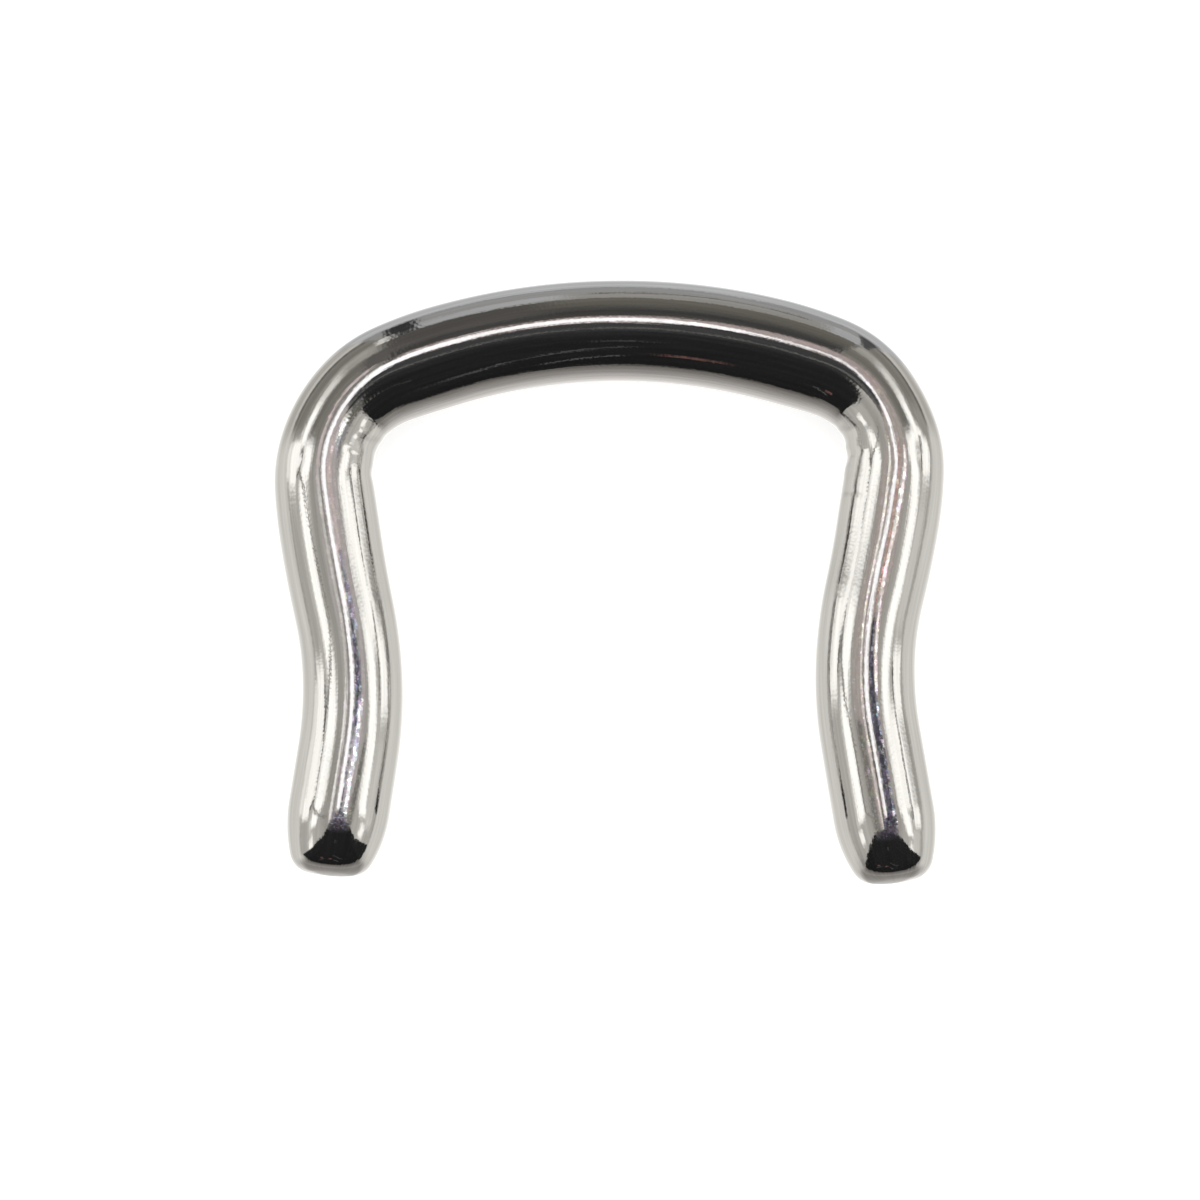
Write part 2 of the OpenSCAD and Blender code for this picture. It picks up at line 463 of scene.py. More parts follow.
def polished_steel():
    """Metal with a mirror finish, hairlines, grain and scuffs."""
    material, tree = new_material("polished_steel")
    shader = tree.nodes["Principled BSDF"]
    shader.inputs["Metallic"].default_value = 1.0
    hairlines = noise_on_bar(tree, *HAIRLINES)
    worn = tree.nodes.new("ShaderNodeAttribute")
    worn.attribute_name = "tooled"
    scuffs = math_node(tree, "MULTIPLY", noise_on_bar(tree, *SCUFFS), worn.outputs["Fac"])
    grain = noise_on_bar(tree, *GRAIN)
    height = math_node(tree, "ADD", hairlines, math_node(tree, "MULTIPLY", grain, GRAIN_SHARE))
    height = math_node(tree, "ADD", height, math_node(tree, "MULTIPLY", scuffs, SCUFF_SHARE))
    bump = tree.nodes.new("ShaderNodeBump")
    bump.inputs["Distance"].default_value = RELIEF_DEPTH
    tree.links.new(height, bump.inputs["Height"])
    tree.links.new(bump.outputs["Normal"], shader.inputs["Normal"])
    tree.links.new(between(tree, hairlines, SMOOTHEST, ROUGHEST), shader.inputs["Roughness"])
    darker = (*[(1 - TINT_SPREAD) * share for share in STEEL], 1)
    paler = (*[(1 + TINT_SPREAD) * share for share in STEEL], 1)
    tint = colour_mix(tree, between(tree, hairlines, 0.0, 1.0), darker, paler)
    tree.links.new(tint, shader.inputs["Base Color"])
    return material


bar_mesh.materials.append(polished_steel())
print(f"The steel's material has {len(bar_mesh.materials[0].node_tree.nodes)} nodes")

# %% [markdown]
# The camera looks down on the bar from 85 degrees, from the side of the two ends. The lens is long
# and stands far off, so that what is near hardly looks wider, as in a product photograph.

# %% Camera
ELEVATION = math.radians(85)
FRAME_WIDTH = 24.38 * MM
LENS, SENSOR = 800.0, 36.0
LOOK_AT = (-0.19 * MM, -0.37 * MM, bar_r)

camera_data = bpy.data.cameras.new("camera")
camera_data.lens = LENS
camera_data.sensor_width = SENSOR
distance = FRAME_WIDTH * LENS / SENSOR
camera_data.clip_start = distance / 10
camera_data.clip_end = distance * 20
camera = in_scene("camera", camera_data)
eye = np.array(LOOK_AT) + distance * np.array([0.0, -math.cos(ELEVATION), math.sin(ELEVATION)])
camera.location = eye.tolist()
camera.rotation_euler = (math.pi / 2 - ELEVATION, 0, 0)
bpy.context.scene.camera = camera
print(f"The camera is {distance:.3f} m away")

# %% [markdown]
# The studio. A polished bar shows the whole room, squeezed: what is straight above lies along its
# middle, the horizon some seven tenths of the way out, and the table in the pale rims. The room is
# a light box that stands open in front, so it is painted as a world of patches. Each patch has a
# bearing, counted from some wall of the box, and a polar angle, counted from straight up. Right
# overhead, where bearings crowd together, a patch has angles across and along the box instead.
# The mask of a patch is always worked out in the same way, so it is a node group.

# %% Light and patches of the room
def light(level, tint=(0, 0, 0)):
    """Linear light that gives this level, of the 0 to 255 kind, once the steel has reflected it.

    Each colour is freed of the usual curve of screens and divided by the steel's share of it.
    """
    colour = []
    for offset, steel in zip(tint, STEEL):
        value = max(level + offset, 0) / 255
        linear = value / 12.92 if value <= 0.04045 else ((value + 0.055) / 1.055) ** 2.4
        colour.append(linear / steel)
    return tuple(colour)


PATCH_INPUTS = ("Bearing", "Polar", "Middle", "Half width", "Top", "Bottom", "Softness", "Flare",
                "Tilt")


def patch_group():
    """Node group: 1 inside a patch of the room and 0 outside, with soft edges.

    Tilt slopes the patch, in degrees of polar angle for each degree of bearing. Flare widens it
    by so many degrees of bearing for each degree further down.
    """
    group = bpy.data.node_groups.new("Room patch", "ShaderNodeTree")
    for name in PATCH_INPUTS:
        group.interface.new_socket(name, in_out="INPUT", socket_type="NodeSocketFloat")
    group.interface.new_socket("Mask", in_out="OUTPUT", socket_type="NodeSocketFloat")
    put = group.nodes.new("NodeGroupInput").outputs
    sink = group.nodes.new("NodeGroupOutput")

    def step(value):
        """0 below minus the softness, 1 above the softness, and smooth between."""
        node = group.nodes.new("ShaderNodeMapRange")
        node.interpolation_type = "SMOOTHSTEP"
        group.links.new(value, node.inputs["Value"])
        group.links.new(math_node(group, "MULTIPLY", put["Softness"], -1.0), node.inputs["From Min"])
        group.links.new(put["Softness"], node.inputs["From Max"])
        return node.outputs["Result"]

    across = math_node(group, "SUBTRACT", put["Bearing"], put["Middle"])
    polar = math_node(group, "SUBTRACT", put["Polar"], math_node(group, "MULTIPLY", across, put["Tilt"]))
    below_top = math_node(group, "SUBTRACT", polar, put["Top"])
    above_bottom = math_node(group, "SUBTRACT", put["Bottom"], polar)
    widened = math_node(group, "MULTIPLY", put["Flare"], below_top)
    wide = math_node(group, "ADD", put["Half width"], widened)
    inside = math_node(group, "SUBTRACT", wide, math_node(group, "ABSOLUTE", across))
    mask = math_node(group, "MULTIPLY", step(inside),
                     math_node(group, "MULTIPLY", step(below_top), step(above_bottom)))
    group.links.new(mask, sink.inputs["Mask"])
    return group


room_patch = patch_group()
print(f"The mask of a patch takes {len(PATCH_INPUTS)} values")

# %% [markdown]
# Five scales say how bright the room is from straight up (0 degrees) over the horizon (90) to
# straight down (180): the side walls, the corners, the back wall, the open front and the table
# before it. Patches add the lit panels, the seams and the dark gaps. They are laid over each other
# in the order of the table.

# %% What the room looks like
CREAM, WARM, BROWN, PLAIN = (3, 0, -6), (4, 0, -4), (22, -6, -10), (0, 0, 0)
# Polar angle and level of light
SIDE = [(0, 165), (13, 165), (27, 143), (42, 165), (66, 168), (85, 158), (89, 165), (91.5, 148),
        (97, 188), (106, 198), (135, 188), (165, 225)]
CORNER = [(0, 150), (14, 150), (26, 122), (44, 104), (52, 104), (60, 128), (70, 128), (88, 112),
          (97, 122), (104, 90), (111, 184), (120, 160), (135, 168), (165, 240)]
BACK = [(0, 56), (22, 72), (41, 54), (57, 86), (74.5, 98), (76.5, 137), (110, 140), (111.5, 118),
        (113, 165), (124, 177), (140, 163), (165, 235)]
FRONT = [(0, 56), (10, 35), (20, 29), (88, 24)]
TABLE = [(80, 140), (91, 84), (96, 106), (114, 141), (130, 172), (160, 205)]
# Wall it is counted from, middle, half width, top, bottom, softness, flare, tilt, level and tint;
# a scale stands in the place of a level and brings its own tint
PATCHES = [
    # Both side walls alike: lit panels, the corners beside the back wall, and more panels
    ("side", 96, 18, 39.5, 57.5, 4, 0, -0.5, 255, CREAM),
    ("side", 99, 8, 66, 86, 3, 0, -0.4, 248, CREAM),
    ("side", 139.5, 28.5, -30, 200, 7, 0, 0, CORNER, None),
    ("side", 66, 6, 58, 70, 3, 0, 0, 245, CREAM),
    ("side", 146, 9, 61, 77, 5, 0, 0, 150, CREAM),
    ("side", 130, 9, 55, 72, 5, 0, 0.2, 205, CREAM),
    ("side", 114, 11, 54, 67, 5, 0, 0, 255, CREAM),
    # What only one of the side walls has: paler and darker places, and gaps
    ("front", -89, 10, 41.5, 45.5, 2.2, 0, -1.7, 115, CREAM),
    ("front", -100, 6, 84, 97, 2, 0, 0, 222, CREAM),
    ("front", -81, 7, 62, 68, 3, 0, 0, 190, CREAM),
    ("front", 78, 7, 68, 84, 4, 0, 0, 195, CREAM),
    ("front", 107, 4, 48, 82, 4, 0, 0, 252, CREAM),
    ("front", 100, 6.2, 65, 68, 1.6, 0, 0, 75, CREAM),
    ("front", 112, 8, 74, 98, 4, 0, 0, 140, CREAM),
    ("front", 83, 6, 66, 84, 3, 0, 0, 190, CREAM),
    ("front", -94.5, 3.5, 53, 57, 2, 0, -1.3, 130, CREAM),
    ("front", -100, 5, 61, 64, 1.5, 0, 0.8, 65, CREAM),
    # The back wall, which widens downwards, its panels and dark gaps, and a dark place overhead
    ("back", 4.5, 15.5, -30, 200, 0.9, 0, 0, BACK, None),
    ("back", -5, 0.85, -30, 200, 1.5, 0.23, 0, BACK, None),
    ("back", 14, 8, 40, 74.5, 3, 0, 0, 73, (3, 0, -3)),
    ("back", 12, 7.5, 77, 92, 1.2, 0, 0, 157, PLAIN),
    ("back", -24, 5.5, 76, 97, 1.2, 0, 0, 160, PLAIN),
    ("back", 19, 1.9, 75, 111, 0.7, 0, 0, 49, PLAIN),
    ("back", -32, 1.0, 78, 109, 0.7, 0.12, 0, 72, PLAIN),
    ("back", -7, 9, 90.2, 92.4, 0.6, 0, 0, 84, PLAIN),
    ("back", 25, 5.5, 28, 57, 3, 0, 0, 84, (3, 0, -3)),
    ("back", 22, 1.6, 73, 87, 1.4, 0, 0, 200, CREAM),
    ("zenith", 2, 11, -14, 0, 1.5, 0, 0, 42, PLAIN),
    # The table, the dark opening above it, and faint things in the opening and overhead
    ("front", 0, 53, 76, 200, 13, 0, 0, TABLE, None),
    ("front", 1, 57.5, -20, 90, 1.0, -0.05, 0, FRONT, None),
    ("front", 59.5, 2.5, 14, 34, 1.5, 0, 0, 88, PLAIN),
    ("front", 58.5, 1.3, 74, 90, 0.8, 0, 0, 84, PLAIN),
    ("front", 9, 10, 51.5, 53.5, 1.2, 0, 0.95, 82, PLAIN),
    ("front", 0, 2.5, 29, 31, 1.2, 0, 0, 70, PLAIN),
    ("front", -8, 3, 58, 62, 1.5, 0, 0, 80, BROWN),
    ("front", -29, 2.5, 59, 64, 1.5, 0, 0, 82, BROWN),
    ("front", -24, 4, 66, 68, 1.0, 0, -1.2, 95, PLAIN),
    ("front", 4, 4, 68, 70, 1.0, 0, 1.2, 95, PLAIN),
    ("zenith", 0, 9, 0, 17, 2.0, 0, 0, 56, PLAIN),
]
print(f"The room has {len(PATCHES)} patches")

# %% [markdown]
# The cloth of a light box is never quite flat, so a soft noise shifts all edges by a degree or two.
# Only mirrors see the painted room. The floor gets plain white light from all round instead, which
# is what the many soft lights of a photo table add up to, and it renders without grain.

# %% The room as a world
# How far the folds shift an edge, in degrees, how close they lie, and their finer detail
CRINKLE, FOLD_SCALE, FOLD_DETAIL = 2.0, 5.0, 4.0
# Stops darker than this have no tint, nor has the back wall from this polar angle down
UNTINTED_BELOW, BACK_UNTINTED_FROM = 60, 85
# Added to x for directions that point down, so that no patch overhead holds them
OUT_OF_REACH = 9.0


def crinkle(tree, direction):
    """How far the folds of the cloth shift an edge, in degrees: CRINKLE (2 noise - 1)."""
    folds = tree.nodes.new("ShaderNodeTexNoise")
    set_inputs(folds, {"Scale": FOLD_SCALE, "Detail": FOLD_DETAIL})
    tree.links.new(direction, folds.inputs["Vector"])
    return math_node(tree, "MULTIPLY", math_node(tree, "SUBTRACT", folds.outputs[0], 0.5), 2 * CRINKLE)


def room_angles(tree):
    """The polar angle of a direction (x, y, z), and for each wall its bearing and polar angle.

    The polar angle is arccos z, the bearing from the front is atan2(x, -y), from the back
    atan2(-x, y), and for the side walls, which are alike, the first one without its sign.
    Overhead, the angles are x and y, turned from radians into degrees.
    """
    direction = tree.nodes.new("ShaderNodeTexCoord").outputs["Generated"]
    split = tree.nodes.new("ShaderNodeSeparateXYZ")
    tree.links.new(direction, split.inputs[0])
    x, y, z = split.outputs
    fold = crinkle(tree, direction)
    minus_x, minus_y = math_node(tree, "MULTIPLY", x, -1.0), math_node(tree, "MULTIPLY", y, -1.0)
    polar = math_node(tree, "ADD", math_node(tree, "DEGREES", math_node(tree, "ARCCOSINE", z)), fold)
    front = math_node(tree, "DEGREES", math_node(tree, "ARCTAN2", x, minus_y))
    back = math_node(tree, "DEGREES", math_node(tree, "ARCTAN2", minus_x, y))
    side = math_node(tree, "ADD", math_node(tree, "ABSOLUTE", front), fold)
    below = math_node(tree, "MULTIPLY", math_node(tree, "LESS_THAN", z, 0.0), OUT_OF_REACH)
    across = math_node(tree, "DEGREES", math_node(tree, "ADD", x, below))
    along = math_node(tree, "DEGREES", y)
    return polar, {"front": (front, polar), "back": (back, polar), "side": (side, polar),
                   "zenith": (across, along)}


def scale_colour(tree, polar, stops):
    """A colour ramp over the polar angle, with one stop for each row of the scale."""
    node = tree.nodes.new("ShaderNodeValToRGB")
    elements = node.color_ramp.elements
    while len(elements) < len(stops):
        elements.new(0.5)
    for element, (angle, level) in zip(elements, stops):
        untinted = level < UNTINTED_BELOW or (stops is BACK and angle > BACK_UNTINTED_FROM)
        tint = WARM if stops is TABLE else CREAM
        element.position = angle / 180
        element.color = (*light(level, PLAIN if untinted else tint), 1)
    tree.links.new(math_node(tree, "DIVIDE", polar, 180.0), node.inputs["Fac"])
    return node.outputs["Color"]


def painted_room(tree):
    """The colour of the room: the side walls' scale, with one patch after the other laid over it."""
    polar, places = room_angles(tree)
    sky = scale_colour(tree, polar, SIDE)
    for wall, middle, half, top, bottom, soft, flare, tilt, look, tint in PATCHES:
        mask = tree.nodes.new("ShaderNodeGroup")
        mask.node_tree = room_patch
        for name, socket in zip(PATCH_INPUTS, places[wall]):
            tree.links.new(socket, mask.inputs[name])
        set_inputs(mask, dict(zip(PATCH_INPUTS[2:], (middle, half, top, bottom, soft, flare, tilt))))
        if isinstance(look, list):
            colour = scale_colour(tree, polar, look)
        else:
            colour = (*light(look, tint), 1)
        sky = colour_mix(tree, mask.outputs["Mask"], sky, colour)
    return sky


def room():
    """The world: the painted room for mirrors, and plain white light for everything else."""
    world = bpy.data.worlds.new("room")
    bpy.context.scene.world = world
    world.use_nodes = True
    tree = world.node_tree
    nodes, links = tree.nodes, tree.links
    nodes.clear()
    background = nodes.new("ShaderNodeBackground")
    links.new(painted_room(tree), background.inputs["Color"])
    plain = nodes.new("ShaderNodeBackground")
    plain.inputs["Color"].default_value = (1, 1, 1, 1)
    choose = nodes.new("ShaderNodeMixShader")
    links.new(nodes.new("ShaderNodeLightPath").outputs["Is Glossy Ray"], choose.inputs["Fac"])
    links.new(plain.outputs[0], choose.inputs[1])
    links.new(background.outputs[0], choose.inputs[2])
    links.new(choose.outputs[0], nodes.new("ShaderNodeOutputWorld").inputs["Surface"])
    return world


print(f"The world has {len(room().node_tree.nodes)} nodes")

# %% [markdown]
# What stands close to the bar can't be part of the room, because it looks different from every
# place on the bar. Such things are thin sheets, painted point by point: a strip lamp over the bar,
# dark screens beside the two ends and the shade before them. Only the bar sees them, and only
# from near by, so they don't get in each other's way.

# %% Painted sheets
NEAR = 6.0 * MM


def near_light():
    """Light in the painted colour for mirrors closer than NEAR, and clear for everything else."""
    material, tree = new_material("painted_light")
    nodes, links = tree.nodes, tree.links
    nodes.clear()
    paint = nodes.new("ShaderNodeAttribute")
    paint.attribute_name = "paint"
    emission = nodes.new("ShaderNodeEmission")
    links.new(paint.outputs["Color"], emission.inputs["Color"])
    near = math_node(tree, "LESS_THAN", nodes.new("ShaderNodeLightPath").outputs["Ray Length"], NEAR)
    choose = nodes.new("ShaderNodeMixShader")
    links.new(math_node(tree, "MULTIPLY", near, paint.outputs["Alpha"]), choose.inputs["Fac"])
    links.new(nodes.new("ShaderNodeBsdfTransparent").outputs[0], choose.inputs[1])
    links.new(emission.outputs[0], choose.inputs[2])
    links.new(choose.outputs[0], nodes.new("ShaderNodeOutputMaterial").inputs["Surface"])
    return material


def painted_sheet(name, points, paint):
    """A sheet through a grid of points in millimetres, each with its light and how solid it is."""
    rows, columns = points.shape[:2]
    corner = np.arange(rows - 1)[:, None, None] * columns + np.arange(columns - 1)[None, :, None]
    mesh = bpy.data.meshes.new(name)
    quads = (corner + [0, columns, columns + 1, 1]).reshape(-1, 4)
    mesh.from_pydata((points.reshape(-1, 3) * MM).tolist(), [], quads.tolist())
    mesh.attributes.new("paint", "FLOAT_COLOR", "POINT").data.foreach_set("color", paint.ravel())
    mesh.materials.append(sheet_material)
    sheet = in_scene(name, mesh)
    sheet.visible_camera = False
    sheet.visible_diffuse = False
    sheet.visible_shadow = False
    sheet.visible_transmission = False
    print(f"The sheet {name} has {len(quads)} faces")


sheet_material = near_light()
print(f"Mirrors see the sheets from nearer than {NEAR / MM:.0f} mm")

# %% [markdown]
# A strip lamp hangs close over the bar and follows it. It makes the white line that runs along
# the crown, through the shoulders and down the middle of both legs, with paler and darker bands
# beside it. A lamp so near has to hang where the mirror wants it. So each point of it is found
# backwards: from the camera to a place on the bar, and from there along the reflected ray up to
# the height of the lamp. A place is a distance s along the bar and a share q of the way from the
# middle line to the outer edge, which is negative on the inner side.

# %% Where the strip lamp hangs
LAMP_HEIGHT = 4.5


def hung_over(s, q):
    """Points at lamp height, in millimetres, whose reflections are seen at the places (s, q).

    With the unit normal n of the bar and the unit ray c to the camera, the mirrored ray is
    2 (n . c) n - c, and it is followed up to the height of the lamp.
    """
    place, outward = axis_frame(s)
    wide = R_MM * width_factor(s)
    rise = np.sqrt(1 - q ** 2)
    place = place - [middle[0], middle[1], 0]
    place = place + (wide * q)[..., None] * outward + (R_MM + R_MM * rise)[..., None] * UP
    normal = (q / wide)[..., None] * outward + (rise / R_MM)[..., None] * UP
    normal /= np.linalg.norm(normal, axis=-1, keepdims=True)
    to_camera = eye / MM - place
    to_camera /= np.linalg.norm(to_camera, axis=-1, keepdims=True)
    ray = 2 * (normal * to_camera).sum(axis=-1, keepdims=True) * normal - to_camera
    return place + ray * ((LAMP_HEIGHT - place[..., 2]) / ray[..., 2])[..., None]


apex = np.zeros(1)
shift = hung_over(apex, apex)[0, 1] - axis_frame(apex)[0][0, 1] + middle[1]
print(f"Over the apex, the lamp's middle hangs {shift:.2f} mm further back than the bar's")

# %% [markdown]
# The lamp isn't one even band. Its reflection has dull edges, thin darker lines and dotted bands,
# as a tube behind a speckled cover would have. So it is painted as stripes over each other, like
# the patches of the room: for each leg the underlay first, then its bands, and the white line last.

# %% Stripes of the lamp
PINK, BLUE, VIOLET, BEIGE = (13, 0, -4), (0, -2, 8), (4, -2, 7), (9, 0, -6)
# Level, tint, softness of the edges, how dotted it is, and stations: distance along the bar,
# middle and half width of the stripe as shares q. The left half of the bar has negative distances.
STRIPES = [
    # Left leg: the underlay, paler and darker bands, the lamp's dotted end
    (160, (7, 0, -2), 0.03, 0.1,
     [(-16, -0.05, 0.21), (-7.0, -0.05, 0.21), (-6.3, -0.03, 0.16), (-5.9, 0.03, 0.09)]),
    (178, PINK, 0.03, 0.2, [(-10.6, -0.09, 0.03), (-8.5, -0.12, 0.05), (-6.6, -0.1, 0.05)]),
    (225, CREAM, 0.016, 0.1, [(-16, 0.135, 0.022), (-11.8, 0.13, 0.02)]),
    (190, CREAM, 0.018, 0.1, [(-12.0, 0.13, 0.02), (-9.5, 0.09, 0.018), (-7.4, 0.12, 0.02)]),
    (128, CREAM, 0.01, 0.2,
     [(-16, 0.075, 0.012), (-12, 0.075, 0.012), (-9.5, 0.04, 0.009), (-7, 0.07, 0.01)]),
    (145, BLUE, 0.03, 0.7,
     [(-12.6, -0.13, 0.06), (-11.0, -0.11, 0.06), (-10.0, -0.135, 0.045), (-9.0, -0.13, 0.02)]),
    (102, BLUE, 0.025, 0.9,
     [(-12.7, -0.1, 0.03), (-12.0, -0.105, 0.045), (-11.0, -0.095, 0.03), (-10.4, -0.1, 0.01)]),
    (135, BLUE, 0.01, 0.7, [(-16, -0.05, 0.018), (-12.2, -0.055, 0.02)]),
    (120, CREAM, 0.02, 0.3, [(-16, -0.26, 0.05), (-14.2, -0.27, 0.05), (-12.8, -0.34, 0.04)]),
    (253, BLUE, 0.014, 0.7, [(-16, -0.13, 0.035), (-14.0, -0.14, 0.04), (-12.1, -0.165, 0.055)]),
    (252, CREAM, 0.02, 0.5, [(-6.7, -0.21, 0.045), (-6.1, -0.18, 0.05)]),
    (180, BLUE, 0.02, 1.0, [(-6.9, -0.27, 0.05), (-6.5, -0.22, 0.06)]),
    (88, CREAM, 0.03, 0.4, [(-6.4, -0.34, 0.05), (-6.1, -0.29, 0.08), (-5.75, -0.19, 0.09)]),
    # Right leg: the underlay, the bright outer line, the dark band inside it, the thin inner line
    (150, BEIGE, 0.03, 0.1, [(5.6, 0.1, 0.1), (6.4, 0.02, 0.2), (7.0, 0, 0.25), (16, 0, 0.25)]),
    (118, CREAM, 0.03, 0.3, [(12.2, -0.2, 0.05), (16, -0.19, 0.06)]),
    (253, PINK, 0.014, 0.5,
     [(6.7, 0.2, 0.03), (7.5, 0.175, 0.038), (8.5, 0.15, 0.033), (9.2, 0.135, 0.032),
      (10.0, 0.17, 0.027), (10.8, 0.2, 0.024), (11.8, 0.21, 0.014)]),
    (85, BLUE, 0.018, 0.7,
     [(10.1, 0.1, 0.02), (11.0, 0.11, 0.045), (12.5, 0.12, 0.06), (16, 0.11, 0.06)]),
    (150, BLUE, 0.014, 1.0, [(11.6, 0.2, 0.02), (13, 0.195, 0.02), (16, 0.19, 0.02)]),
    (240, BEIGE, 0.014, 0.3,
     [(6.5, -0.12, 0.022), (8.0, -0.105, 0.02), (9.5, -0.12, 0.02), (10.2, -0.1, 0.02),
      (11.0, -0.09, 0.02)]),
    (215, BEIGE, 0.014, 0.3, [(10.8, -0.09, 0.02), (16, -0.075, 0.015)]),
    (142, (30, 0, -10), 0.012, 0.4,
     [(6.5, 0.07, 0.014), (8.0, 0.085, 0.018), (10.0, 0.085, 0.016)]),
    (90, CREAM, 0.01, 0.3, [(10.5, -0.05, 0.006), (12.2, -0.045, 0.012), (16, -0.045, 0.018)]),
    # Where the lamp's two ends fade out
    (110, VIOLET, 0.05, 0.8, [(-17, -0.06, 0.17), (-14.9, -0.06, 0.13), (-14.7, -0.05, 0.08)]),
    (86, VIOLET, 0.06, 0.6, [(-17, -0.06, 0.26), (-15.4, -0.06, 0.19), (-15.1, -0.04, 0.07)]),
    (76, VIOLET, 0.05, 0.8, [(14.3, 0.1, 0.07), (14.7, 0.08, 0.12), (17, 0.0, 0.2)]),
    (72, VIOLET, 0.06, 0.6, [(15.1, 0.05, 0.07), (15.4, 0.0, 0.2), (17, -0.05, 0.28)]),
    (250, BLUE, 0.014, 0.6, [(14.25, 0.19, 0.02), (14.55, 0.16, 0.025)]),
    # A thin pale line and a dark one beside the white line in the left shoulder
    (180, PINK, 0.012, 0.1,
     [(-7.3, 0.12, 0.018), (-6.4, 0.14, 0.018), (-6.0, 0.165, 0.018), (-5.6, 0.175, 0.018),
      (-5.0, 0.21, 0.014)]),
    (112, CREAM, 0.012, 0.1,
     [(-7.0, 0.075, 0.01), (-6.4, 0.085, 0.014), (-6.0, 0.105, 0.014), (-5.6, 0.13, 0.014),
      (-5.0, 0.165, 0.012)]),
    # The crown's line, with its dull pink edges, and the white line of the legs
    (145, PINK, 0.022, 0.1,
     [(-4.5, 0.14, 0.055), (-3.5, 0.135, 0.06), (0, 0.13, 0.06), (1.0, 0.135, 0.06)]),
    (148, PINK, 0.022, 0.1,
     [(0.8, 0.15, 0.05), (2.5, 0.155, 0.06), (4.0, 0.17, 0.075), (4.8, 0.16, 0.085),
      (5.6, 0.14, 0.1)]),
    (255, (3, 0, 0), 0.016, 0.05,
     [(-14.6, 0.003, 0.034), (-12.0, 0.0, 0.034), (-10.8, 0.003, 0.033), (-9.9, -0.025, 0.037),
      (-9.3, -0.03, 0.038), (-7.5, -0.005, 0.034), (-6.4, 0.0, 0.03), (-5.8, 0.03, 0.042),
      (-5.3, 0.06, 0.045), (-4.8, 0.1, 0.04), (-4.3, 0.13, 0.037), (0, 0.125, 0.037),
      (0.8, 0.12, 0.033)]),
    (253, (3, 0, 0), 0.016, 0.1,
     [(0.7, 0.12, 0.033), (2.5, 0.12, 0.02), (4.2, 0.125, 0.012), (4.7, 0.105, 0.014),
      (5.2, 0.06, 0.022), (5.8, 0.02, 0.028), (6.4, -0.02, 0.026), (7.0, 0.02, 0.034),
      (8.0, 0.005, 0.034), (9.0, -0.03, 0.038), (10.2, 0.01, 0.034), (12, 0.008, 0.032),
      (14.5, 0.015, 0.022)]),
]
print(f"The lamp has {len(STRIPES)} stripes")

# %% [markdown]
# To paint the sheet, each stripe gets a mask over the whole grid of places (s, q) at once, and the
# light of the sheet moves towards the stripe's light by as much as the mask says. Dots are random
# numbers, averaged over a few neighbours, that make the light stronger and weaker.

# %% Strip lamp over the bar
ROWS, COLUMNS = 1300, 73
Q_FROM, Q_TO = -0.34, 0.38
# How far the sheet reaches both ways along the bar, where the lamp on it is half faded out, and
# over what length it fades
SHEET_ENDS, LAMP_ENDS, LAMP_FADE = 16.4, 15.6, 0.8
# Over what length a stripe begins and ends
STRIPE_FADE = 0.3
# Rows and columns that a dot covers, how coloured and how strong the dots are, and a value that
# brings their mean back to about 1
DOT_SEED, DOT_ROWS, DOT_COLUMNS = 5, 2, 4
DOT_COLOUR, DOT_STRENGTH, DOT_BALANCE = 0.2, 0.9, 0.4


def dots(rows, columns):
    """Random light for each point of the sheet, for three colours, about 1 on average.

    Dots are longer across the bar than along it, because the round bar squeezes them again.
    The light is exp(DOT_STRENGTH noise - DOT_BALANCE), with a noise whose spread is 1.
    """
    random = np.random.default_rng(DOT_SEED)
    both = random.normal(size=(rows, columns, 1)) + DOT_COLOUR * random.normal(size=(rows, columns, 3))
    for axis, width in ((0, DOT_ROWS), (1, DOT_COLUMNS)):
        both = sum(np.roll(both, k, axis=axis) for k in range(width))
    return np.exp(DOT_STRENGTH * both / both.std() - DOT_BALANCE)


def strip_lamp():
    """The lamp as a level sheet, painted with the stripes and clear where there is none."""
    s, q = np.meshgrid(np.linspace(-SHEET_ENDS, SHEET_ENDS, ROWS), np.linspace(Q_FROM, Q_TO, COLUMNS),
                       indexing="ij")
    paint = np.zeros((ROWS, COLUMNS, 4))
    speckle = dots(ROWS, COLUMNS)
    for level, tint, soft, dotted, line in STRIPES:
        at, centre, half = np.array(line).T
        inside = np.interp(s, at, half) - np.abs(q - np.interp(s, at, centre))
        ends = np.minimum(s - at[0], at[-1] - s) / STRIPE_FADE + 0.5
        mask = np.clip(inside / (2 * soft) + 0.5, 0, 1) * np.clip(ends, 0, 1)
        mask = (mask * mask * (3 - 2 * mask))[..., None]
        colour = np.array(light(level, tint)) * (1 + dotted * (speckle - 1))
        paint[..., :3] += mask * (np.maximum(colour, 0) - paint[..., :3])
        paint[..., 3:] += mask * (1 - paint[..., 3:])
    paint[..., :3] /= np.maximum(paint[..., 3:], 1e-6)
    paint[..., 3] *= np.clip((LAMP_ENDS - np.abs(s)) / LAMP_FADE + 0.5, 0, 1)
    painted_sheet("strip_lamp", hung_over(s, q), paint)


strip_lamp()

# %% [markdown]
# The dark front of the box reaches further round for the two ends than for the crown, because
# they stand nearer to it. Small dark screens close beside the ends stand for that. Each one is an
# upright strip of a cylinder around an end, and its top edge falls away to the side.

# %% Dark screens beside the ends
# Points on the table below the two ends, around which the screens stand
LEFT_END_AT, RIGHT_END_AT = (-5.55, -5.5), (5.6, -5.5)
SCREEN_RADIUS = 2.6
SCREEN_COLUMNS = 36
SCREEN_LIGHT = light(30)
